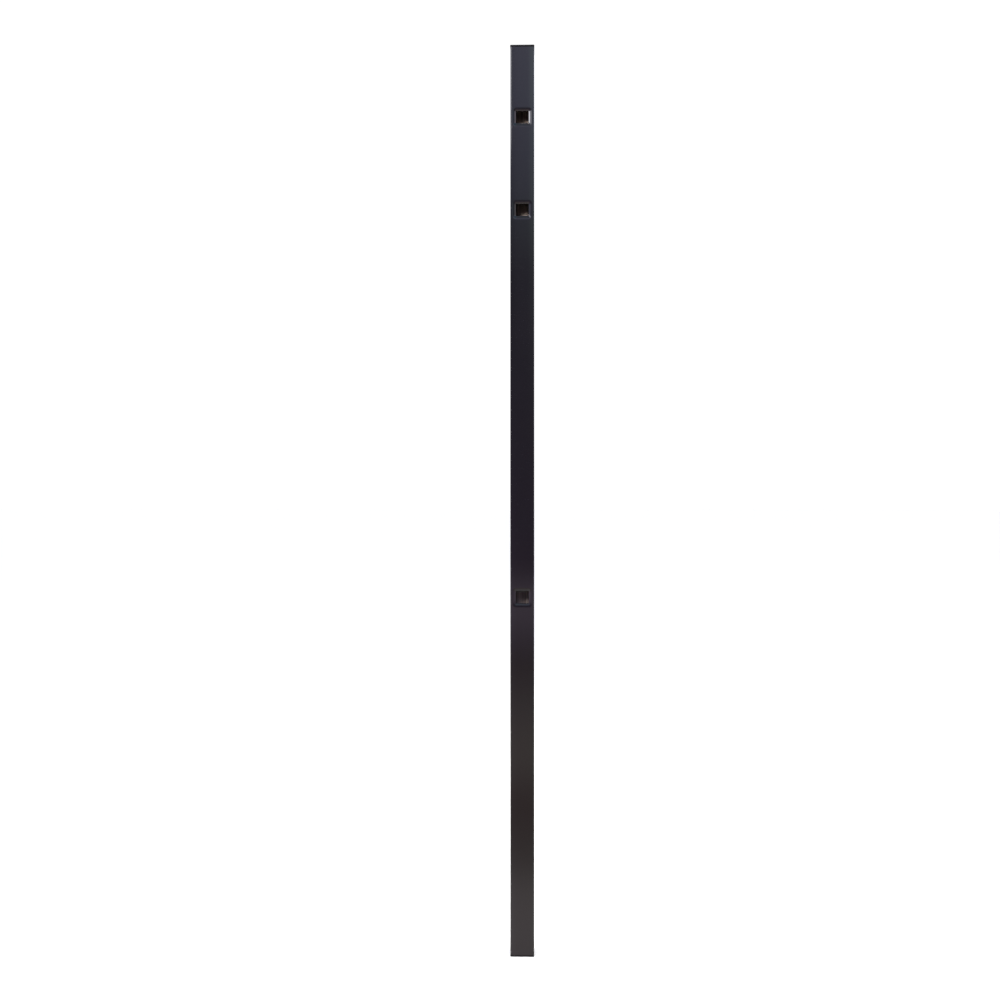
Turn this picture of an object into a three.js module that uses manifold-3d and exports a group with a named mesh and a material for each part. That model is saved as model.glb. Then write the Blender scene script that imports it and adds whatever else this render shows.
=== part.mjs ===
// Punched square fence post with a drive-in flat cap.
//
// A length of square aluminium tube, open at the foot and set in the ground,
// with three rail openings punched through its front wall, and a flat plastic
// cap whose plug is pushed into the top of the tube.
//
// Units are millimetres, +Z is up. The origin is the centre of the tube's foot.
// The wall with the rail openings faces -Y.

import * as THREE from 'three';
import { mergeVertices } from 'three/addons/utils/BufferGeometryUtils.js';
import Module from 'manifold-3d';

// ---------------------------------------------------------------- dimensions

const IN = 25.4;

// tube
const TUBE_SIZE = 2 * IN;              // outside, across flats
const TUBE_LENGTH = 76 * IN;
const WALL = 1.6;
const TUBE_CORNER_R = 1.2;             // outside corner radius
const TUBE_INNER_R = 0.5;              // inside corner radius

// rail openings, centres measured down from the tube's top end
const OPENING_DROPS = [5.875 * IN, 13.625 * IN, 46 * IN];
const OPENING_W = 27.2;                // 1 in rail plus clearance
const OPENING_H = 25.8;
const OPENING_R = 0.6;                 // corner radius of the punch
const LIP_REACH = 8.5;                 // how far the wall is drawn in around the punch
const LIP_DEPTH = 1.5;                 // how deep it is drawn in at the cut edge
const LIP_POWER = 2.5;                 // how sharply it turns in towards the edge
const LIP_STEPS = 5;

// cap
const SEAT_GAP = 0.3;                  // under the flange, above the tube's end
const FLANGE_SIZE = 51.4;
const FLANGE_T = 3.8;
const FLANGE_CORNER_R = 1.5;
const FLANGE_EDGE_R = 0.9;             // rounding of the flange's top edge
const PLUG_SIZE = 46.0;                // outside of the plug's walls
const PLUG_WALL = 1.8;
const PLUG_LENGTH = 20.0;
const PLUG_CORNER_R = 1.6;
const RIB_W = 1.6;                     // grip ribs on the plug
const RIB_PROUD = 0.5;
const RIB_LENGTH = 15.0;
const RIB_OFFSET = 13.0;               // each side of the plug's centre line

// ------------------------------------------------------------------- library

const wasm = await Module();
wasm.setup();

// A closed surface as a solid that can be joined and cut.
function solid(geometry, matrix) {
  const g = geometry.clone();
  if (matrix) g.applyMatrix4(matrix);
  g.deleteAttribute('normal');
  if (g.attributes.uv) g.deleteAttribute('uv');
  const m = mergeVertices(g, 1e-4);
  const index = m.index ? m.index.array : Uint32Array.from({ length: m.attributes.position.count }, (_, i) => i);
  return new wasm.Manifold(new wasm.Mesh({
    numProp: 3,
    vertProperties: new Float32Array(m.attributes.position.array),
    triVerts: new Uint32Array(index),
  }));
}

// Such a solid as a surface with normals.
function geometryOf(body) {
  const mesh = body.getMesh();
  const g = new THREE.BufferGeometry();
  const count = mesh.vertProperties.length / mesh.numProp;
  const positions = new Float32Array(count * 3);
  for (let i = 0; i < count; i++) {
    for (let k = 0; k < 3; k++) positions[3 * i + k] = mesh.vertProperties[mesh.numProp * i + k];
  }
  g.setAttribute('position', new THREE.BufferAttribute(positions, 3));
  g.setIndex(new THREE.BufferAttribute(new Uint32Array(mesh.triVerts), 1));
  g.computeVertexNormals();
  return g;
}

// Counter-clockwise rounded rectangle centred on the origin.
function roundedRect(width, height, r) {
  const x = width / 2;
  const y = height / 2;
  const s = new THREE.Shape();
  s.moveTo(-x + r, -y);
  s.lineTo(x - r, -y);
  s.absarc(x - r, -y + r, r, -Math.PI / 2, 0, false);
  s.lineTo(x, y - r);
  s.absarc(x - r, y - r, r, 0, Math.PI / 2, false);
  s.lineTo(-x + r, y);
  s.absarc(-x + r, y - r, r, Math.PI / 2, Math.PI, false);
  s.lineTo(-x, -y + r);
  s.absarc(-x + r, -y + r, r, Math.PI, 1.5 * Math.PI, false);
  s.closePath();
  return s;
}

function outline(width, height, r, curveSegments) {
  const points = roundedRect(width, height, r).getPoints(curveSegments);
  const clean = [];
  for (const p of points) {
    const last = clean[clean.length - 1];
    if (!last || last.distanceTo(p) > 1e-6) clean.push(p);
  }
  if (clean[0].distanceTo(clean[clean.length - 1]) < 1e-6) clean.pop();
  return clean;
}

// A closed solid through a stack of outlines that all have the same number of
// points. Each section is { points, level }, and the levels rise along +Z.
function loft(sections) {
  const n = sections[0].points.length;
  const positions = [];
  const index = [];
  for (const { points, level } of sections) {
    for (const p of points) positions.push(p.x, p.y, level);
  }
  for (let s = 0; s + 1 < sections.length; s++) {
    for (let i = 0; i < n; i++) {
      const j = (i + 1) % n;
      const a = s * n + i;
      const b = s * n + j;
      const c = (s + 1) * n + j;
      const d = (s + 1) * n + i;
      index.push(a, b, c, a, c, d);
    }
  }
  const top = (sections.length - 1) * n;
  for (const [a, b, c] of THREE.ShapeUtils.triangulateShape(sections[0].points, [])) index.push(a, c, b);
  for (const [a, b, c] of THREE.ShapeUtils.triangulateShape(sections[sections.length - 1].points, [])) {
    index.push(top + a, top + b, top + c);
  }
  const g = new THREE.BufferGeometry();
  g.setAttribute('position', new THREE.Float32BufferAttribute(positions, 3));
  g.setIndex(index);
  return g;
}

function extrude(shape, depth, curveSegments = 3) {
  return new THREE.ExtrudeGeometry(shape, { depth, bevelEnabled: false, steps: 1, curveSegments });
}

// ---------------------------------------------------------------------- tube

// Depth of the drawn-in wall at a distance s out from the cut edge: deepest at
// the edge, and running out level with the flat wall at LIP_REACH.
function lipDepth(s) {
  const t = 1 - s / LIP_REACH;
  return LIP_DEPTH * Math.pow(t, LIP_POWER);
}

// The drawn-in pocket as a solid, wide end first. Its axis is +Z here, which
// becomes +Y, into the tube.
function pocket(level, lead) {
  const sections = [];
  const outer = { s: LIP_REACH, at: 0 };
  sections.push({
    points: outline(OPENING_W + 2 * outer.s, OPENING_H + 2 * outer.s, OPENING_R + outer.s, 2),
    level: level - lead,
  });
  for (let i = 0; i <= LIP_STEPS; i++) {
    const s = LIP_REACH * (1 - i / LIP_STEPS);
    sections.push({
      points: outline(OPENING_W + 2 * s, OPENING_H + 2 * s, OPENING_R + s, 2),
      level: level + lipDepth(s),
    });
  }
  return loft(sections);
}

// Local +Z into the tube (+Y), local Y up the tube.
function intoFront(z) {
  const m = new THREE.Matrix4().makeBasis(
    new THREE.Vector3(-1, 0, 0),
    new THREE.Vector3(0, 0, 1),
    new THREE.Vector3(0, 1, 0),
  );
  m.setPosition(0, -TUBE_SIZE / 2, z);
  return m;
}

function buildTube() {
  const section = roundedRect(TUBE_SIZE, TUBE_SIZE, TUBE_CORNER_R);
  const inside = TUBE_SIZE - 2 * WALL;
  section.holes.push(roundedRect(inside, inside, TUBE_INNER_R));
  let body = solid(extrude(section, TUBE_LENGTH, 3));
  for (const drop of OPENING_DROPS) {
    const place = intoFront(TUBE_LENGTH - drop);
    // the wall's inner side stands into the hollow behind the pocket
    body = body.add(solid(pocket(WALL, WALL / 2), place));
    // the pocket itself, open to the front
    body = body.subtract(solid(pocket(0, 3), place));
    // the punched way through
    const punch = extrude(roundedRect(OPENING_W, OPENING_H, OPENING_R), WALL + LIP_DEPTH + 4, 2);
    punch.translate(0, 0, -1);
    body = body.subtract(solid(punch, place));
  }
  return geometryOf(body);
}

// ----------------------------------------------------------------------- cap

// The cap stands in its own coordinates with z = 0 at the flange's underside.
function buildCap() {
  const steps = 3;
  const sections = [
    { points: outline(FLANGE_SIZE, FLANGE_SIZE, FLANGE_CORNER_R, 3), level: 0 },
  ];
  for (let i = 0; i <= steps; i++) {
    const a = (i / steps) * (Math.PI / 2);
    const inset = FLANGE_EDGE_R * (1 - Math.cos(a));
    const rise = FLANGE_T - FLANGE_EDGE_R + FLANGE_EDGE_R * Math.sin(a);
    sections.push({
      points: outline(FLANGE_SIZE - 2 * inset, FLANGE_SIZE - 2 * inset, FLANGE_CORNER_R - inset, 3),
      level: rise,
    });
  }
  let body = solid(loft(sections));

  // plug: a square collar under the flange, open below, with a lead-in
  const lead = 1.2;
  const plug = loft([
    { points: outline(PLUG_SIZE - 2 * lead, PLUG_SIZE - 2 * lead, PLUG_CORNER_R, 2), level: -PLUG_LENGTH },
    { points: outline(PLUG_SIZE, PLUG_SIZE, PLUG_CORNER_R, 2), level: -PLUG_LENGTH + 2.5 },
    { points: outline(PLUG_SIZE, PLUG_SIZE, PLUG_CORNER_R, 2), level: 0.5 },
  ]);
  body = body.add(solid(plug));

  // grip ribs, two on each side of the plug
  for (let side = 0; side < 4; side++) {
    for (const offset of [-RIB_OFFSET, RIB_OFFSET]) {
      const shape = new THREE.Shape();
      const face = PLUG_SIZE / 2;
      shape.moveTo(-0.8, 0.4);
      shape.lineTo(-0.8, -RIB_LENGTH - 1.0);
      shape.lineTo(0, -RIB_LENGTH - 1.0);
      shape.lineTo(RIB_PROUD, -RIB_LENGTH + 1.5);
      shape.lineTo(RIB_PROUD, 0.4);
      shape.closePath();
      const rib = extrude(shape, RIB_W);
      rib.translate(0, 0, -RIB_W / 2);
      rib.applyMatrix4(new THREE.Matrix4().makeRotationX(Math.PI / 2));
      rib.translate(face, offset, 0);
      rib.applyMatrix4(new THREE.Matrix4().makeRotationZ((side * Math.PI) / 2));
      body = body.add(solid(rib));
    }
  }

  // hollow of the plug, up to the flange's underside
  const bore = PLUG_SIZE - 2 * PLUG_WALL;
  const hollow = extrude(roundedRect(bore, bore, 0.8), PLUG_LENGTH + 1, 2);
  hollow.translate(0, 0, -PLUG_LENGTH - 1);
  body = body.subtract(solid(hollow));
  return geometryOf(body);
}

// --------------------------------------------------------------------- model

const powderCoat = new THREE.MeshStandardMaterial({ name: 'powder_coat', color: 0x1b1b1e, roughness: 0.42, metalness: 0.0 });
const capPlastic = new THREE.MeshStandardMaterial({ name: 'cap_plastic', color: 0x141416, roughness: 0.55, metalness: 0.0 });

const post = new THREE.Group();

const tube = new THREE.Mesh(buildTube(), powderCoat);
tube.name = 'post_tube';
post.add(tube);

const cap = new THREE.Mesh(buildCap(), capPlastic);
cap.name = 'post_cap';
cap.position.set(0, 0, TUBE_LENGTH + SEAT_GAP);
post.add(cap);

export default post;
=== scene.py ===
import math

import bmesh
import bpy
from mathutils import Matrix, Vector, noise


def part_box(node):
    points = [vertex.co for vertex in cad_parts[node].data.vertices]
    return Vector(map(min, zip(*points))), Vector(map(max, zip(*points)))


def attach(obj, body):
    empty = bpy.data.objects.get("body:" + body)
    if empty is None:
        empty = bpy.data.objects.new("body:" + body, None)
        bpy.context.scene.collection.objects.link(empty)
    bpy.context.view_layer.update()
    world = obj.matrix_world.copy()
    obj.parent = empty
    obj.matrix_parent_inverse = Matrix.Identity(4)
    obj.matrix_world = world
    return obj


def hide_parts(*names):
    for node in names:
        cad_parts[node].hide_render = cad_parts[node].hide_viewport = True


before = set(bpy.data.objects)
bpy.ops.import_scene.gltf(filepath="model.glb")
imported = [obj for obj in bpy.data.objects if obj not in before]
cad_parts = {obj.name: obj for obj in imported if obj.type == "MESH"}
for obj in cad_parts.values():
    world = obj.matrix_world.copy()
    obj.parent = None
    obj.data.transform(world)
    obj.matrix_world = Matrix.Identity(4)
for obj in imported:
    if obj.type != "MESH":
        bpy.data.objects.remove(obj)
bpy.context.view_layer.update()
tube_lo, tube_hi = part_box("post_tube")
cap_lo, cap_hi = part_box("post_cap")

MM = 0.001
scene = bpy.context.scene

# ------------------------------------------------------------------ dimensions, millimetres, as in the CAD model
HALF = tube_hi.x / MM
LENGTH = tube_hi.z / MM
WALL = 1.6
R_OUT = 1.2
R_IN = 0.5
OPENING_DROPS = (5.875 * 25.4, 13.625 * 25.4, 46 * 25.4)
OPEN_X = 13.6
OPEN_Z = 12.9
OPEN_R = 0.6
LIP_REACH = 8.5
LIP_DEPTH = 1.5
LIP_POWER = 2.5
OPENINGS = [LENGTH - d for d in OPENING_DROPS]


# ------------------------------------------------------------------ small helpers
def new_object(name, mesh):
    ob = bpy.data.objects.new(name, mesh)
    scene.collection.objects.link(ob)
    return ob


def finish_mesh(bm, name, sharp_deg=32.0):
    bmesh.ops.remove_doubles(bm, verts=bm.verts, dist=1e-7)
    bmesh.ops.recalc_face_normals(bm, faces=bm.faces)
    for f in bm.faces:
        f.smooth = True
    me = bpy.data.meshes.new(name)
    bm.to_mesh(me)
    bm.free()
    me.set_sharp_from_angle(angle=math.radians(sharp_deg))
    return me


def ramp(nodes, points, interpolation="LINEAR"):
    r = nodes.new("ShaderNodeValToRGB")
    cr = r.color_ramp
    cr.interpolation = interpolation
    while len(cr.elements) > 1:
        cr.elements.remove(cr.elements[-1])
    cr.elements[0].position = points[0][0]
    cr.elements[0].color = (*points[0][1], 1.0)
    for pos, col in points[1:]:
        e = cr.elements.new(pos)
        e.color = (*col, 1.0)
    return r


def linspace(a, b, n):
    return [a + (b - a) * i / n for i in range(n + 1)]


# ------------------------------------------------------------------ the tube
CORNER_STEPS = 8
SIDE_STEPS = 4  # the part of a patch's side beside each of its corners
MID_STEPS = 6   # the straight part of a patch's side
PATCH_UP = OPEN_Z + LIP_REACH + 1.6


def spread(edge, straight):
    """Columns across a wall: fine near the corners of a patch, even across its straight part."""
    left = linspace(-edge, -straight, SIDE_STEPS)
    mid = linspace(-straight, straight, MID_STEPS)
    right = linspace(straight, edge, SIDE_STEPS)
    return left + mid[1:] + right[1:]


FLAT = (-1.0, -0.97, -0.82, -0.62, -0.42, -0.2, 0.0, 0.2, 0.42, 0.62, 0.82, 0.97, 1.0)


def fall(t):
    """Extruded walls are flat across most of their width and fall off a little towards their corners. t runs -1 to 1."""
    u = max(0.0, abs(t) - 0.5) / 0.5
    return 0.16 * u * u


def wander(side, t, z):
    """Slow unevenness of a wall along its length, inward only, gone at the corners."""
    n = noise.noise(Vector((side * 7.3 + t * 0.35, 0.0, z / 210.0)))
    return 0.035 * (0.5 + 0.5 * n) * max(0.0, 1.0 - t ** 4)


def perimeter(half, r, straight, z, uneven, inset=0.0):
    """Points (x, y) of the section at height z, anticlockwise from the front wall's left edge."""
    half = half - inset
    r = max(0.3, r - inset)
    e = half - r
    cols = []
    fronts = spread(half - r, straight)
    sides = [e * t for t in FLAT]
    walls = [(fronts, 0), (sides, 1), (sides, 2), (sides, 3)]
    for us, side in walls:
        for u in us:
            t = u / e
            d = (fall(t) + wander(side, t, z)) if uneven else 0.0
            p = (u, -half + d)
            cols.append(turn(p, side))
        drop = fall(1.0) if uneven else 0.0
        for i in range(1, CORNER_STEPS):
            a = math.radians(-90.0 + 90.0 * i / CORNER_STEPS)
            q = r - drop
            p = (e + q * math.cos(a), -e + q * math.sin(a))
            cols.append(turn(p, side))
    return cols


def turn(p, side):
    x, y = p
    for _ in range(side):
        x, y = -y, x
    return (x, y)


FRONT_COLS = 2 * SIDE_STEPS + MID_STEPS + 1


def row_heights():
    """Heights of the rows of the grid, with the rows of each patch among them."""
    fixed = {0.0, 0.22, 1.2, 6.0, LENGTH, LENGTH - 0.22, LENGTH - 1.2, LENGTH - 6.0}
    spans = []
    for c in OPENINGS:
        zs = [c + z for z in (
            linspace(-PATCH_UP, -(OPEN_Z - OPEN_R), SIDE_STEPS)
            + linspace(-(OPEN_Z - OPEN_R), OPEN_Z - OPEN_R, MID_STEPS)[1:]
            + linspace(OPEN_Z - OPEN_R, PATCH_UP, SIDE_STEPS)[1:]
        )]
        spans.append((zs[0], zs[-1]))
        fixed.update(zs)
    rows = sorted(fixed)
    out = [rows[0]]
    for z in rows[1:]:
        gap = z - out[-1]
        inside = any(a - 1e-6 <= out[-1] and z <= b + 1e-6 for a, b in spans)
        if gap > 32.0 and not inside:
            out.extend(linspace(out[-1], z, math.ceil(gap / 28.0))[1:])
        else:
            out.append(z)
    return out, spans


def patch_loop(s, cx=OPEN_X, cz=OPEN_Z, r0=OPEN_R):
    """Offset outline of the punch at a distance s out from its cut edge, anticlockwise from the foot of the right side."""
    hx, hz, r = cx + s, cz + s, r0 + s
    pts = []
    k = 2 * SIDE_STEPS
    corners = ((1, -1, 0.0), (1, 1, 90.0), (-1, 1, 180.0), (-1, -1, 270.0))
    # right side going up, then each corner and side in turn
    sx, sz = hx - r, hz - r
    pts += [(hx, z) for z in linspace(-sz, sz, MID_STEPS)]
    pts += [(sx + r * math.cos(math.radians(90.0 * i / k)), sz + r * math.sin(math.radians(90.0 * i / k))) for i in range(1, k)]
    pts += [(x, hz) for x in linspace(sx, -sx, MID_STEPS)]
    pts += [(-sx + r * math.cos(math.radians(90 + 90.0 * i / k)), sz + r * math.sin(math.radians(90 + 90.0 * i / k))) for i in range(1, k)]
    pts += [(-hx, z) for z in linspace(sz, -sz, MID_STEPS)]
    pts += [(-sx + r * math.cos(math.radians(180 + 90.0 * i / k)), -sz + r * math.sin(math.radians(180 + 90.0 * i / k))) for i in range(1, k)]
    pts += [(x, -hz) for x in linspace(-sx, sx, MID_STEPS)]
    pts += [(sx + r * math.cos(math.radians(270 + 90.0 * i / k)), -sz + r * math.sin(math.radians(270 + 90.0 * i / k))) for i in range(1, k)]
    return pts


def lip(s):
    t = max(0.0, 1.0 - s / LIP_REACH)
    return LIP_DEPTH * t ** LIP_POWER


def build_tube():
    bm = bmesh.new()
    rows, spans = row_heights()
    nrow = len(rows)
    skins = {}
    for skin in ("out", "in"):
        half = HALF if skin == "out" else HALF - WALL
        r = R_OUT if skin == "out" else R_IN
        grid = []
        for i, z in enumerate(rows):
            edge = i in (0, nrow - 1)
            inset = 0.0
            if edge:
                inset = 0.22 if skin == "out" else -0.16
            pts = perimeter(half, r, OPEN_X - OPEN_R, z, skin == "out", inset)
            keep = []
            for c, (x, y) in enumerate(pts):
                inside = 0 < c < FRONT_COLS - 1 and any(a + 1e-6 < z < b - 1e-6 for a, b in spans)
                keep.append(None if inside else bm.verts.new((x * MM, y * MM, z * MM)))
            grid.append(keep)
        ncol = len(grid[0])
        for i in range(nrow - 1):
            for c in range(ncol):
                d = (c + 1) % ncol
                if c < FRONT_COLS - 1 and any(a - 1e-6 <= rows[i] and rows[i + 1] <= b + 1e-6 for a, b in spans):
                    continue
                face = bm.faces.new((grid[i][c], grid[i][d], grid[i + 1][d], grid[i + 1][c]))
                face.material_index = 0 if skin == "out" else 1
        skins[skin] = grid

    # the sawn ends
    ncol = len(skins["out"][0])
    for i in (0, nrow - 1):
        for c in range(ncol):
            d = (c + 1) % ncol
            face = bm.faces.new((skins["out"][i][c], skins["in"][i][c], skins["in"][i][d], skins["out"][i][d]))
            face.material_index = 1

    # a patch of wall around each opening, outside and inside, and the cut face between them
    steps = [LIP_REACH * (1 - k / 9) ** 1.25 for k in range(9)]
    steps = [s for s in steps if s > 0.75] + [0.6, 0.42]
    edge_r = 0.3
    for (lo, hi), zc in zip(spans, OPENINGS):
        i0, i1 = rows.index(lo), rows.index(hi)
        cut = {}
        for skin in ("out", "in"):
            grid = skins[skin]
            right, top, left, bottom = (
                [grid[i][FRONT_COLS - 1] for i in range(i0, i1 + 1)],
                [grid[i1][c] for c in range(FRONT_COLS - 1, -1, -1)],
                [grid[i][0] for i in range(i1, i0 - 1, -1)],
                [grid[i0][c] for c in range(FRONT_COLS)],
            )
            ring = right[:-1] + top[:-1] + left[:-1] + bottom[:-1]
            # start the ring where the outline starts: at the foot of the straight part of the right side
            ring = ring[SIDE_STEPS:] + ring[:SIDE_STEPS]
            loops = [ring]
            if skin == "out":
                profile = [(s, lip(s)) for s in steps]
                base = lip(edge_r)
                for k in range(5):
                    a = math.radians(90.0 * k / 4)
                    profile.append((edge_r * (1 - math.sin(a)), base + edge_r * (1 - math.cos(a)) * 0.9))
            else:
                profile = [(s, lip(s) + WALL) for s in steps]
                profile += [(0.12, lip(0.12) + WALL), (0.0, lip(0.0) + WALL - 0.1)]
            for s, depth in profile:
                verts = []
                for x, dz in patch_loop(s):
                    z = zc + dz
                    t = x / (HALF - R_OUT)
                    d = depth
                    if skin == "out":
                        d += (fall(t) + wander(0, t, z))
                    verts.append(bm.verts.new((x * MM, (-HALF + d) * MM, z * MM)))
                loops.append(verts)
            for a, b in zip(loops, loops[1:]):
                n = len(a)
                for k in range(n):
                    j = (k + 1) % n
                    face = bm.faces.new((a[k], a[j], b[j], b[k]))
                    face.material_index = 0 if skin == "out" else 1
            cut[skin] = loops[-1]
        # the cut face, in three bands so that it shades flat
        a, b = cut["out"], cut["in"]
        n = len(a)
        bands = [a]
        for f in (0.3, 0.75):
            bands.append([bm.verts.new(a[k].co.lerp(b[k].co, f)) for k in range(n)])
        bands.append(b)
        for p, q in zip(bands, bands[1:]):
            for k in range(n):
                j = (k + 1) % n
                bm.faces.new((p[k], p[j], q[j], q[k]))
    return finish_mesh(bm, "post_tube_body", 38.0)


tube_mesh = build_tube()
tube = new_object("post_tube_body", tube_mesh)

# ------------------------------------------------------------------ the cap
FLANGE = cap_hi.x / MM
CAP_TOP = cap_hi.z / MM
SEAT = CAP_TOP - 3.8
PLUG_FOOT = cap_lo.z / MM
PLUG = 23.0
PLUG_WALL = 1.8


def square_loop(half, r, steps=8, flats=6):
    pts = []
    e = half - r
    for side in range(4):
        for u in linspace(-e, e, flats)[:-1]:
            pts.append(turn((u, -half), side))
        for i in range(steps):
            a = math.radians(-90.0 + 90.0 * i / steps)
            pts.append(turn((e + r * math.cos(a), -e + r * math.sin(a)), side))
    return pts


def skin_loops(bm, sections, close_first, close_last):
    loops = []
    for pts, z in sections:
        loops.append([bm.verts.new((x * MM, y * MM, z * MM)) for x, y in pts])
    for a, b in zip(loops, loops[1:]):
        n = len(a)
        for k in range(n):
            j = (k + 1) % n
            bm.faces.new((a[k], a[j], b[j], b[k]))
    return loops


def fill_square(bm, loop):
    """Closes a square loop with a grid-like fan that has a vertex at its centre and one ring between."""
    c = Vector((0, 0, 0))
    for v in loop:
        c += v.co
    c /= len(loop)
    rings = [loop]
    for f in (0.92, 0.6, 0.3):
        rings.append([bm.verts.new(c + (v.co - c) * f) for v in loop])
    mid = bm.verts.new(c)
    for a, b in zip(rings, rings[1:]):
        n = len(a)
        for k in range(n):
            j = (k + 1) % n
            bm.faces.new((a[k], a[j], b[j], b[k]))
    last = rings[-1]
    for k in range(len(last)):
        bm.faces.new((last[k], last[(k + 1) % len(last)], mid))


def build_flange_and_plug():
    bm = bmesh.new()
    r = 1.5
    under = SEAT
    sections = []
    # inside of the plug, from the underside of the flange down to its foot
    wall_in = PLUG - PLUG_WALL
    fillet = 0.7
    sections.append((square_loop(wall_in - fillet, 0.8), under - 0.0))
    for k in range(1, 5):
        a = math.radians(90.0 * k / 4)
        sections.append((square_loop(wall_in - fillet * (1 - math.sin(a)), 0.8), under - fillet * (1 - math.cos(a))))
    sections.append((square_loop(wall_in + 0.15, 0.8), PLUG_FOOT + 0.5))
    sections.append((square_loop(wall_in + 0.35, 0.8), PLUG_FOOT + 0.06))
    sections.append((square_loop(wall_in + 0.5, 0.9), PLUG_FOOT))
    # outside of the plug, up to the flange
    sections.append((square_loop(PLUG - 1.2 + 0.0, 1.6), PLUG_FOOT))
    sections.append((square_loop(PLUG - 1.05, 1.6), PLUG_FOOT + 0.1))
    sections.append((square_loop(PLUG - 0.12, 1.6), PLUG_FOOT + 2.3))
    sections.append((square_loop(PLUG - 0.02, 1.6), PLUG_FOOT + 3.0))
    sections.append((square_loop(PLUG, 1.6), under - 0.5))
    sections.append((square_loop(PLUG + 0.12, 1.6), under - 0.14))
    sections.append((square_loop(PLUG + 0.5, 1.7), under))
    # underside and edge of the flange
    sections.append((square_loop(FLANGE - 0.4, r - 0.3), under))
    for k in range(0, 4):
        a = math.radians(90.0 * k / 3)
        sections.append((square_loop(FLANGE - 0.25 * (1 - math.sin(a)), r), under + 0.25 * (1 - math.cos(a))))
    er = 0.9
    for k in range(0, 9):
        a = math.radians(90.0 * k / 8)
        sections.append((square_loop(FLANGE - er * (1 - math.cos(a)), r - er * (1 - math.cos(a)) * 0.6), CAP_TOP - 0.12 - er + er * math.sin(a)))
    sections.append((square_loop(FLANGE - er - 1.5, r - 0.6), CAP_TOP - 0.105))
    sections.append((square_loop(FLANGE - er - 6, r), CAP_TOP - 0.06))
    loops = skin_loops(bm, sections, True, True)
    fill_square(bm, loops[0])
    top = loops[-1]
    fill_square(bm, top)
    for v in bm.verts:
        if v.co.z > (CAP_TOP - 0.08) * MM:
            q = min(1.0, max(abs(v.co.x), abs(v.co.y)) / ((FLANGE - er - 6) * MM))
            v.co.z = (CAP_TOP - 0.06 * q * q) * MM
    return finish_mesh(bm, "post_cap_body", 38.0)


cap_mesh = build_flange_and_plug()
cap = new_object("post_cap_body", cap_mesh)


def build_ribs():
    bm = bmesh.new()
    for side in range(4):
        for offset in (-13.0, 13.0):
            # section across the rib, rising to a rounded crest, at three heights
            rows = []
            for z, proud, w in (
                (PLUG_FOOT + 5.0, -0.05, 0.9),
                (PLUG_FOOT + 5.6, 0.1, 1.2),
                (PLUG_FOOT + 7.4, 0.46, 1.55),
                (PLUG_FOOT + 8.2, 0.5, 1.6),
                (SEAT - 1.0, 0.5, 1.6),
                (SEAT - 0.05, 0.5, 1.6),
            ):
                row = []
                for k in range(9):
                    u = -1 + 2 * k / 8
                    h = proud * (1 - abs(u) ** 2.6)
                    x, y = turn((offset + u * w / 2, -(PLUG + h)), side)
                    row.append((x, y, z))
                # back of the rib, inside the plug's wall
                for u in (0.9, -0.9):
                    x, y = turn((offset + u * w / 2, -(PLUG - 0.4)), side)
                    row.append((x, y, z))
                rows.append([bm.verts.new((x * MM, y * MM, z * MM)) for x, y, z in row])
            n = len(rows[0])
            for a, b in zip(rows, rows[1:]):
                for k in range(n):
                    j = (k + 1) % n
                    bm.faces.new((a[k], a[j], b[j], b[k]))
            bm.faces.new(rows[0][::-1])
            bm.faces.new(rows[-1])
    return finish_mesh(bm, "post_cap_ribs", 45.0)


ribs = new_object("post_cap_ribs", build_ribs())


# ------------------------------------------------------------------ materials
def principled(name):
    m = bpy.data.materials.new(name)
    m.use_nodes = True
    nt = m.node_tree
    bsdf = next(n for n in nt.nodes if n.type == "BSDF_PRINCIPLED")
    return m, nt, nt.nodes, nt.links, bsdf


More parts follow.
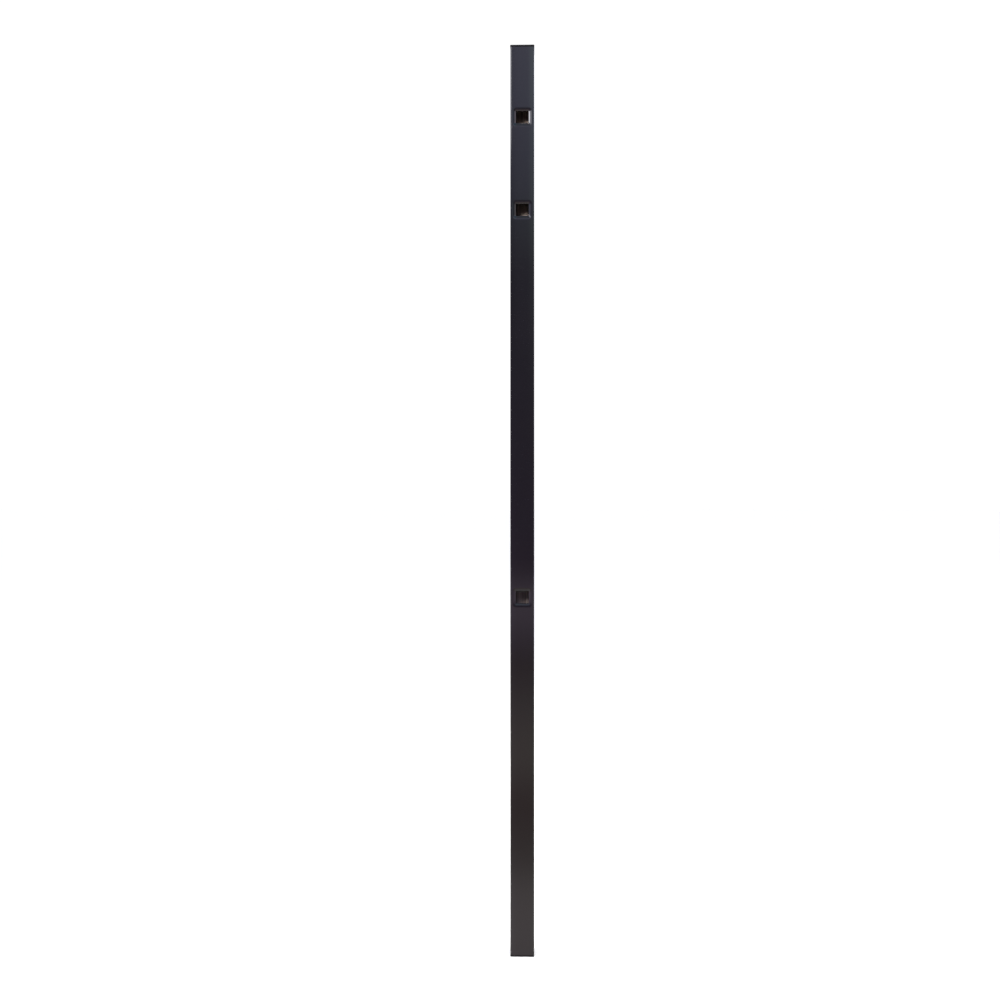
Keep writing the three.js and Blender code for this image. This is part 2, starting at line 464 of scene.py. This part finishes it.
def powder_coat():
    m, nt, nodes, links, bsdf = principled("powder_coat_black")
    tc = nodes.new("ShaderNodeTexCoord")
    place = nodes.new("ShaderNodeSeparateXYZ")
    links.new(tc.outputs["Object"], place.inputs["Vector"])
    # slow colour and gloss variation
    slow = nodes.new("ShaderNodeTexNoise")
    slow.inputs["Scale"].default_value = 9.0
    slow.inputs["Detail"].default_value = 3.0
    links.new(tc.outputs["Object"], slow.inputs["Vector"])
    col = ramp(nodes, [(0.3, (0.0013, 0.0012, 0.0014)), (0.7, (0.0021, 0.0019, 0.0022))])
    links.new(slow.outputs["Fac"], col.inputs["Fac"])
    # handling scuffs, short and mostly across, thickest near the foot
    squash = nodes.new("ShaderNodeMapping")
    squash.inputs["Scale"].default_value = (60.0, 60.0, 520.0)
    squash.inputs["Rotation"].default_value = (0.5, 0.35, 0.0)
    links.new(tc.outputs["Object"], squash.inputs["Vector"])
    marks = nodes.new("ShaderNodeTexNoise")
    marks.inputs["Scale"].default_value = 1.0
    marks.inputs["Detail"].default_value = 4.0
    links.new(squash.outputs["Vector"], marks.inputs["Vector"])
    thin = ramp(nodes, [(0.62, (0, 0, 0)), (0.70, (1, 1, 1))])
    links.new(marks.outputs["Fac"], thin.inputs["Fac"])
    low = nodes.new("ShaderNodeMapRange")
    low.inputs["From Min"].default_value = 0.25
    low.inputs["From Max"].default_value = 0.0
    low.inputs["To Min"].default_value = 0.12
    low.inputs["To Max"].default_value = 0.75
    links.new(place.outputs["Z"], low.inputs["Value"])
    scuff = nodes.new("ShaderNodeMath")
    scuff.operation = "MULTIPLY"
    links.new(thin.outputs["Color"], scuff.inputs[0])
    links.new(low.outputs["Result"], scuff.inputs[1])
    dusty = nodes.new("ShaderNodeMix")
    dusty.data_type = "RGBA"
    dusty.inputs["B"].default_value = (0.014, 0.0135, 0.0135, 1.0)
    links.new(scuff.outputs[0], dusty.inputs["Factor"])
    links.new(col.outputs["Color"], dusty.inputs["A"])
    links.new(dusty.outputs["Result"], bsdf.inputs["Base Color"])
    rr = nodes.new("ShaderNodeMapRange")
    rr.inputs["To Min"].default_value = 0.065
    rr.inputs["To Max"].default_value = 0.10
    links.new(slow.outputs["Fac"], rr.inputs["Value"])
    dull = nodes.new("ShaderNodeMath")
    dull.operation = "MULTIPLY_ADD"
    dull.inputs[1].default_value = 0.16
    links.new(scuff.outputs[0], dull.inputs[0])
    links.new(rr.outputs["Result"], dull.inputs[2])
    links.new(dull.outputs[0], bsdf.inputs["Roughness"])
    # painted shade: the coat reflects less over the lowest few millimetres of the foot, a darker band that stands in
    # for the shade where the post meets the floor
    rim = nodes.new("ShaderNodeMapRange")
    rim.inputs["From Min"].default_value = 0.0016
    rim.inputs["From Max"].default_value = 0.0044
    rim.inputs["To Min"].default_value = 0.10
    rim.inputs["To Max"].default_value = 0.5
    links.new(place.outputs["Z"], rim.inputs["Value"])
    links.new(rim.outputs["Result"], bsdf.inputs["Specular IOR Level"])
    # orange peel of the coat, and the extrusion lines under it
    peel = nodes.new("ShaderNodeTexNoise")
    peel.inputs["Scale"].default_value = 420.0
    peel.inputs["Detail"].default_value = 1.5
    links.new(tc.outputs["Object"], peel.inputs["Vector"])
    stretch = nodes.new("ShaderNodeMapping")
    stretch.inputs["Scale"].default_value = (900.0, 900.0, 2.0)
    links.new(tc.outputs["Object"], stretch.inputs["Vector"])
    lines = nodes.new("ShaderNodeTexNoise")
    lines.inputs["Scale"].default_value = 1.0
    lines.inputs["Detail"].default_value = 1.0
    links.new(stretch.outputs["Vector"], lines.inputs["Vector"])
    b1 = nodes.new("ShaderNodeBump")
    b1.inputs["Strength"].default_value = 0.35
    b1.inputs["Distance"].default_value = 0.000003
    links.new(lines.outputs["Fac"], b1.inputs["Height"])
    b2 = nodes.new("ShaderNodeBump")
    b2.inputs["Strength"].default_value = 0.5
    b2.inputs["Distance"].default_value = 0.000008
    links.new(peel.outputs["Fac"], b2.inputs["Height"])
    links.new(b1.outputs["Normal"], b2.inputs["Normal"])
    links.new(b2.outputs["Normal"], bsdf.inputs["Normal"])
    bsdf.inputs["IOR"].default_value = 1.5
    return m


def bare_inside():
    """Mill-finish aluminium inside the tube, with black overspray on the front wall around each opening."""
    m, nt, nodes, links, bsdf = principled("aluminium_inside")
    tc = nodes.new("ShaderNodeTexCoord")
    place = nodes.new("ShaderNodeSeparateXYZ")
    links.new(tc.outputs["Object"], place.inputs["Vector"])
    stretch = nodes.new("ShaderNodeMapping")
    stretch.inputs["Scale"].default_value = (700.0, 700.0, 3.0)
    links.new(tc.outputs["Object"], stretch.inputs["Vector"])
    lines = nodes.new("ShaderNodeTexNoise")
    lines.inputs["Scale"].default_value = 1.0
    lines.inputs["Detail"].default_value = 3.0
    links.new(stretch.outputs["Vector"], lines.inputs["Vector"])
    metal = ramp(nodes, [(0.34, (0.12, 0.092, 0.078)), (0.62, (0.34, 0.285, 0.250))])
    links.new(lines.outputs["Fac"], metal.inputs["Fac"])
    # distance up or down from the nearest opening
    nearest = None
    for zc in OPENINGS:
        d = nodes.new("ShaderNodeMath")
        d.operation = "SUBTRACT"
        d.inputs[1].default_value = zc * MM
        links.new(place.outputs["Z"], d.inputs[0])
        a = nodes.new("ShaderNodeMath")
        a.operation = "ABSOLUTE"
        links.new(d.outputs[0], a.inputs[0])
        if nearest is None:
            nearest = a
        else:
            m_ = nodes.new("ShaderNodeMath")
            m_.operation = "MINIMUM"
            links.new(nearest.outputs[0], m_.inputs[0])
            links.new(a.outputs[0], m_.inputs[1])
            nearest = m_
    beside = nodes.new("ShaderNodeMapRange")
    beside.interpolation_type = "SMOOTHSTEP"
    beside.inputs["From Min"].default_value = 0.016
    beside.inputs["From Max"].default_value = 0.034
    beside.inputs["To Min"].default_value = 1.0
    beside.inputs["To Max"].default_value = 0.0
    links.new(nearest.outputs[0], beside.inputs["Value"])
    wall = nodes.new("ShaderNodeMapRange")
    wall.interpolation_type = "SMOOTHSTEP"
    wall.inputs["From Min"].default_value = -0.0205
    wall.inputs["From Max"].default_value = -0.012
    wall.inputs["To Min"].default_value = 1.0
    wall.inputs["To Max"].default_value = 0.0
    links.new(place.outputs["Y"], wall.inputs["Value"])
    spray = nodes.new("ShaderNodeMath")
    spray.operation = "MULTIPLY"
    links.new(beside.outputs["Result"], spray.inputs[0])
    links.new(wall.outputs["Result"], spray.inputs[1])
    mix = nodes.new("ShaderNodeMix")
    mix.data_type = "RGBA"
    mix.inputs["B"].default_value = (0.009, 0.0085, 0.009, 1.0)
    links.new(spray.outputs[0], mix.inputs["Factor"])
    links.new(metal.outputs["Color"], mix.inputs["A"])
    links.new(mix.outputs["Result"], bsdf.inputs["Base Color"])
    bsdf.inputs["Metallic"].default_value = 0.12
    bsdf.inputs["Roughness"].default_value = 0.55
    return m


def cap_plastic():
    m, nt, nodes, links, bsdf = principled("cap_plastic_black")
    tc = nodes.new("ShaderNodeTexCoord")
    slow = nodes.new("ShaderNodeTexNoise")
    slow.inputs["Scale"].default_value = 40.0
    slow.inputs["Detail"].default_value = 3.0
    links.new(tc.outputs["Object"], slow.inputs["Vector"])
    col = ramp(nodes, [(0.3, (0.0034, 0.0034, 0.0036)), (0.7, (0.0050, 0.0050, 0.0053))])
    links.new(slow.outputs["Fac"], col.inputs["Fac"])
    links.new(col.outputs["Color"], bsdf.inputs["Base Color"])
    rr = nodes.new("ShaderNodeMapRange")
    rr.inputs["To Min"].default_value = 0.50
    rr.inputs["To Max"].default_value = 0.62
    links.new(slow.outputs["Fac"], rr.inputs["Value"])
    links.new(rr.outputs["Result"], bsdf.inputs["Roughness"])
    bsdf.inputs["Specular IOR Level"].default_value = 0.17
    grain = nodes.new("ShaderNodeTexNoise")
    grain.inputs["Scale"].default_value = 1800.0
    grain.inputs["Detail"].default_value = 2.0
    links.new(tc.outputs["Object"], grain.inputs["Vector"])
    b = nodes.new("ShaderNodeBump")
    b.inputs["Strength"].default_value = 0.6
    b.inputs["Distance"].default_value = 0.00003
    links.new(grain.outputs["Fac"], b.inputs["Height"])
    links.new(b.outputs["Normal"], bsdf.inputs["Normal"])
    return m


coat = powder_coat()
plastic = cap_plastic()
tube.data.materials.append(coat)
tube.data.materials.append(bare_inside())
for ob in (cap, ribs):
    ob.data.materials.append(plastic)

# ------------------------------------------------------------------ riding and standing for the CAD nodes
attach(tube, "post")
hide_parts("post_tube")
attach(cap, "cap")
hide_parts("post_cap")
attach(ribs, "cap")

# ------------------------------------------------------------------ stage: floor, world and lights
floor_bm = bmesh.new()
S = 120.0
floor_bm.faces.new([floor_bm.verts.new(p) for p in ((-S, -S, 0), (S, -S, 0), (S, S, 0), (-S, S, 0))])
floor_me = bpy.data.meshes.new("floor")
floor_bm.to_mesh(floor_me)
floor_bm.free()
floor = new_object("floor", floor_me)
fm, fnt, fnodes, flinks, fb = principled("floor_white")
fb.inputs["Base Color"].default_value = (0.93, 0.93, 0.93, 1)
fb.inputs["Roughness"].default_value = 0.9
fb.inputs["Specular IOR Level"].default_value = 0.0
floor.data.materials.append(fm)
floor.visible_glossy = False
floor.visible_diffuse = False

world = bpy.data.worlds.new("studio")
scene.world = world
world.use_nodes = True
wn, wl = world.node_tree.nodes, world.node_tree.links
wn.clear()
out = wn.new("ShaderNodeOutputWorld")
lp = wn.new("ShaderNodeLightPath")
tc = wn.new("ShaderNodeTexCoord")
sep = wn.new("ShaderNodeSeparateXYZ")
wl.new(tc.outputs["Generated"], sep.inputs["Vector"])
height = wn.new("ShaderNodeMath")
height.operation = "ADD"
height.inputs[1].default_value = 0.5
wl.new(sep.outputs["Z"], height.inputs[0])


def el(y):
    """Where a height in the picture is mirrored to by the front wall, as a place on the ramp."""
    slope = (500.1 - y) * 2.123 / 2500.0
    return 0.5 + math.sin(math.atan(slope))


front = ramp(wn, [
    (0.0, (0.90, 0.85, 0.85)),
    (el(1010), (1.00, 0.90, 0.93)),
    (el(925), (1.36, 1.18, 1.22)),
    (el(885), (1.20, 1.05, 1.07)),
    (el(862), (0.74, 0.62, 0.60)),
    (el(810), (0.56, 0.41, 0.42)),
    (el(790), (0.64, 0.48, 0.48)),
    (el(760), (0.95, 0.81, 0.78)),
    (el(740), (0.89, 0.75, 0.72)),
    (el(700), (0.68, 0.56, 0.59)),
    (el(662), (0.40, 0.30, 0.33)),
    (el(640), (0.55, 0.43, 0.57)),
    (el(615), (0.90, 0.71, 0.93)),
    (el(590), (0.90, 0.73, 0.92)),
    (el(573), (0.34, 0.23, 0.36)),
    (el(540), (0.33, 0.25, 0.38)),
    (el(400), (0.32, 0.27, 0.39)),
    (el(270), (0.33, 0.30, 0.43)),
    (el(230), (0.48, 0.50, 0.63)),
    (el(160), (0.71, 0.71, 1.02)),
    (el(100), (0.87, 0.87, 1.24)),
    (el(50), (1.04, 1.04, 1.45)),
    (el(-40), (0.95, 0.95, 1.32)),
    (el(-260), (0.62, 0.66, 0.85)),
    (1.0, (0.65, 0.67, 0.84)),
])
wl.new(height.outputs[0], front.inputs["Fac"])
across = wn.new("ShaderNodeMath")
across.operation = "MULTIPLY_ADD"
across.inputs[1].default_value = 0.5
across.inputs[2].default_value = 0.5
wl.new(sep.outputs["X"], across.inputs[0])


def az(x):
    return 0.5 + 0.5 * x


side_high = ramp(wn, [
    (az(-1.0), (1.5, 1.5, 1.5)),
    (az(-0.985), (1.4, 1.4, 1.4)),
    (az(-0.94), (0.40, 0.40, 0.40)),
    (az(-0.80), (0.35, 0.35, 0.35)),
    (az(-0.68), (2.0, 2.0, 2.0)),
    (az(-0.40), (1.8, 1.8, 1.8)),
    (az(-0.20), (1.2, 1.2, 1.2)),
    (az(-0.07), (0.82, 0.82, 0.82)),
    (az(-0.022), (0.96, 0.96, 0.96)),
    (az(-0.006), (1.02, 1.02, 1.02)),
    (az(0.012), (1.24, 1.36, 1.20)),
    (az(0.045), (1.42, 1.66, 1.36)),
    (az(0.07), (1.20, 1.35, 1.18)),
    (az(0.14), (0.66, 0.70, 0.70)),
    (az(0.32), (0.64, 0.68, 0.68)),
    (az(0.46), (2.4, 2.25, 1.85)),
    (az(0.70), (2.7, 2.5, 2.0)),
    (az(0.82), (0.30, 0.30, 0.30)),
    (az(0.94), (0.35, 0.35, 0.35)),
    (az(0.985), (1.3, 1.3, 1.3)),
    (az(1.0), (1.4, 1.4, 1.4)),
])
side_low = ramp(wn, [
    (az(-1.0), (1.4, 1.4, 1.4)),
    (az(-0.985), (1.3, 1.3, 1.3)),
    (az(-0.94), (0.45, 0.45, 0.45)),
    (az(-0.80), (0.45, 0.45, 0.45)),
    (az(-0.65), (1.7, 1.7, 1.7)),
    (az(-0.30), (1.2, 1.2, 1.2)),
    (az(-0.07), (1.16, 1.18, 1.20)),
    (az(-0.012), (1.0, 1.0, 1.0)),
    (az(0.07), (1.02, 1.08, 1.02)),
    (az(0.30), (1.1, 1.1, 1.1)),
    (az(0.65), (1.4, 1.4, 1.4)),
    (az(0.80), (0.4, 0.4, 0.4)),
    (az(0.94), (0.4, 0.4, 0.4)),
    (az(0.985), (1.2, 1.2, 1.2)),
    (az(1.0), (1.3, 1.3, 1.3)),
])
wl.new(across.outputs[0], side_high.inputs["Fac"])
wl.new(across.outputs[0], side_low.inputs["Fac"])
which = wn.new("ShaderNodeMapRange")
which.interpolation_type = "SMOOTHSTEP"
which.inputs["From Min"].default_value = el(480) - 0.5
which.inputs["From Max"].default_value = el(230) - 0.5
wl.new(sep.outputs["Z"], which.inputs["Value"])
sides = wn.new("ShaderNodeMix")
sides.data_type = "RGBA"
wl.new(which.outputs["Result"], sides.inputs["Factor"])
wl.new(side_low.outputs["Color"], sides.inputs["A"])
wl.new(side_high.outputs["Color"], sides.inputs["B"])
lit = wn.new("ShaderNodeMix")
lit.data_type = "RGBA"
lit.blend_type = "MULTIPLY"
lit.clamp_result = False
lit.inputs["Factor"].default_value = 1.0
wl.new(front.outputs["Color"], lit.inputs["A"])
wl.new(sides.outputs["Result"], lit.inputs["B"])
# a patch of bluer light high up and a little to the right
patch_up = wn.new("ShaderNodeMapRange")
patch_up.interpolation_type = "SMOOTHSTEP"
patch_up.inputs["From Min"].default_value = math.sin(math.radians(20.5))
patch_up.inputs["From Max"].default_value = math.sin(math.radians(27.0))
wl.new(sep.outputs["Z"], patch_up.inputs["Value"])
patch_side = ramp(wn, [
    (az(-0.08), (0.0, 0.0, 0.0)),
    (az(0.0), (0.10, 0.10, 0.10)),
    (az(0.05), (0.55, 0.55, 0.55)),
    (az(0.11), (1.0, 1.0, 1.0)),
    (az(0.40), (1.0, 1.0, 1.0)),
    (az(0.60), (0.0, 0.0, 0.0)),
])
wl.new(across.outputs[0], patch_side.inputs["Fac"])
patch = wn.new("ShaderNodeMath")
patch.operation = "MULTIPLY"
wl.new(patch_up.outputs["Result"], patch.inputs[0])
wl.new(patch_side.outputs["Color"], patch.inputs[1])
bluer = wn.new("ShaderNodeMix")
bluer.data_type = "RGBA"
bluer.blend_type = "MULTIPLY"
bluer.clamp_result = False
bluer.inputs["B"].default_value = (0.62, 1.02, 1.30, 1.0)
wl.new(patch.outputs[0], bluer.inputs["Factor"])
wl.new(lit.outputs["Result"], bluer.inputs["A"])
gloss_bg = wn.new("ShaderNodeBackground")
wl.new(bluer.outputs["Result"], gloss_bg.inputs["Color"])
# the fill is weak low down in front, so that it does not light the inside of the tube through its openings
low_front = wn.new("ShaderNodeMapRange")
low_front.interpolation_type = "SMOOTHSTEP"
low_front.inputs["From Min"].default_value = 0.55
low_front.inputs["From Max"].default_value = 0.80
wl.new(sep.outputs["Z"], low_front.inputs["Value"])
behind = wn.new("ShaderNodeMapRange")
behind.interpolation_type = "SMOOTHSTEP"
behind.inputs["From Min"].default_value = -0.35
behind.inputs["From Max"].default_value = 0.10
wl.new(sep.outputs["Y"], behind.inputs["Value"])
open_sky = wn.new("ShaderNodeMath")
open_sky.operation = "MAXIMUM"
wl.new(low_front.outputs["Result"], open_sky.inputs[0])
wl.new(behind.outputs["Result"], open_sky.inputs[1])
fill = wn.new("ShaderNodeMapRange")
fill.inputs["To Min"].default_value = 0.05
fill.inputs["To Max"].default_value = 1.30
wl.new(open_sky.outputs[0], fill.inputs["Value"])
fill_bg = wn.new("ShaderNodeBackground")
fill_bg.inputs["Color"].default_value = (1, 1, 1, 1)
wl.new(fill.outputs["Result"], fill_bg.inputs["Strength"])
white_bg = wn.new("ShaderNodeBackground")
white_bg.inputs["Color"].default_value = (1, 1, 1, 1)
white_bg.inputs["Strength"].default_value = 1.05
mix1 = wn.new("ShaderNodeMixShader")
wl.new(lp.outputs["Is Diffuse Ray"], mix1.inputs["Fac"])
wl.new(gloss_bg.outputs[0], mix1.inputs[1])
wl.new(fill_bg.outputs[0], mix1.inputs[2])
mix2 = wn.new("ShaderNodeMixShader")
wl.new(lp.outputs["Is Camera Ray"], mix2.inputs["Fac"])
wl.new(mix1.outputs[0], mix2.inputs[1])
wl.new(white_bg.outputs[0], mix2.inputs[2])
wl.new(mix2.outputs[0], out.inputs["Surface"])


def softbox(name, where, look_at, size_x, size_y, power, color=(1, 1, 1)):
    light = bpy.data.lights.new(name, "AREA")
    light.shape = "RECTANGLE"
    light.size = size_x
    light.size_y = size_y
    light.energy = power
    light.color = color
    ob = new_object(name, light)
    ob.location = where
    ob.rotation_mode = "QUATERNION"
    ob.rotation_quaternion = (Vector(look_at) - Vector(where)).to_track_quat("-Z", "Y")
    ob.visible_camera = False
    return ob


overhead = softbox("overhead", (0.0, -0.4, 4.2), (0, 0, 0), 3.0, 3.0, 150.0)
overhead.visible_glossy = False
# the key, seen in the drawn-in edge of the top opening, and its dimmer surround
softbox("key_left", (-1.86, -2.60, 3.02), (0, 0, 1.78), 0.78, 0.75, 26.0)
surround = softbox("key_surround", (-0.86, -3.06, 2.98), (0, 0, 1.78), 1.15, 0.60, 6.6)
surround.visible_diffuse = False
# a wide panel in front and to the left that reaches in through the openings
panel = softbox("panel_front", (-1.32, -3.0, 2.27), (0.0, 0.0, 1.78), 1.85, 0.43, 21.0, (1.0, 0.975, 0.96))
panel.data.spread = math.radians(48.0)
panel.visible_glossy = False
# its smaller neighbour, which reaches in through the lowest opening
panel_low = softbox("panel_low", (-0.35, -3.0, 2.28), (0.0, 0.0, 0.76), 1.1, 0.36, 0.62, (0.92, 0.90, 1.14))
panel_low.data.spread = math.radians(24.0)
panel_low.visible_glossy = False
# a dim one level with that opening
panel_level = softbox("panel_level", (-0.20, -3.0, 0.98), (0.0, 0.0, 0.76), 0.9, 0.36, 0.075, (0.92, 0.88, 1.20))
panel_level.data.spread = math.radians(16.0)
panel_level.visible_glossy = False

# ------------------------------------------------------------------ camera
MM_PER_PX = (cap_hi.z / MM) / 912.1
MID_Z = cap_hi.z / 2 + 0.0014
DIST = 2.5
FACE_AZ = math.radians(0.7)
POST_PX = 522.25 - 500.0

cam_data = bpy.data.cameras.new("camera")
cam = new_object("camera", cam_data)
cam_data.sensor_width = 36.0
cam_data.lens = 36.0 * DIST / (1000.0 * MM_PER_PX * MM)
front_y = -HALF * MM
cam.location = (DIST * math.sin(FACE_AZ), front_y - DIST * math.cos(FACE_AZ), MID_Z)
off_axis = math.atan(POST_PX * MM_PER_PX * MM / DIST)
heading = FACE_AZ + off_axis
cam.rotation_euler = (math.radians(90), 0, heading)
scene.camera = cam

scene.view_settings.view_transform = "Standard"
scene.view_settings.look = "None"
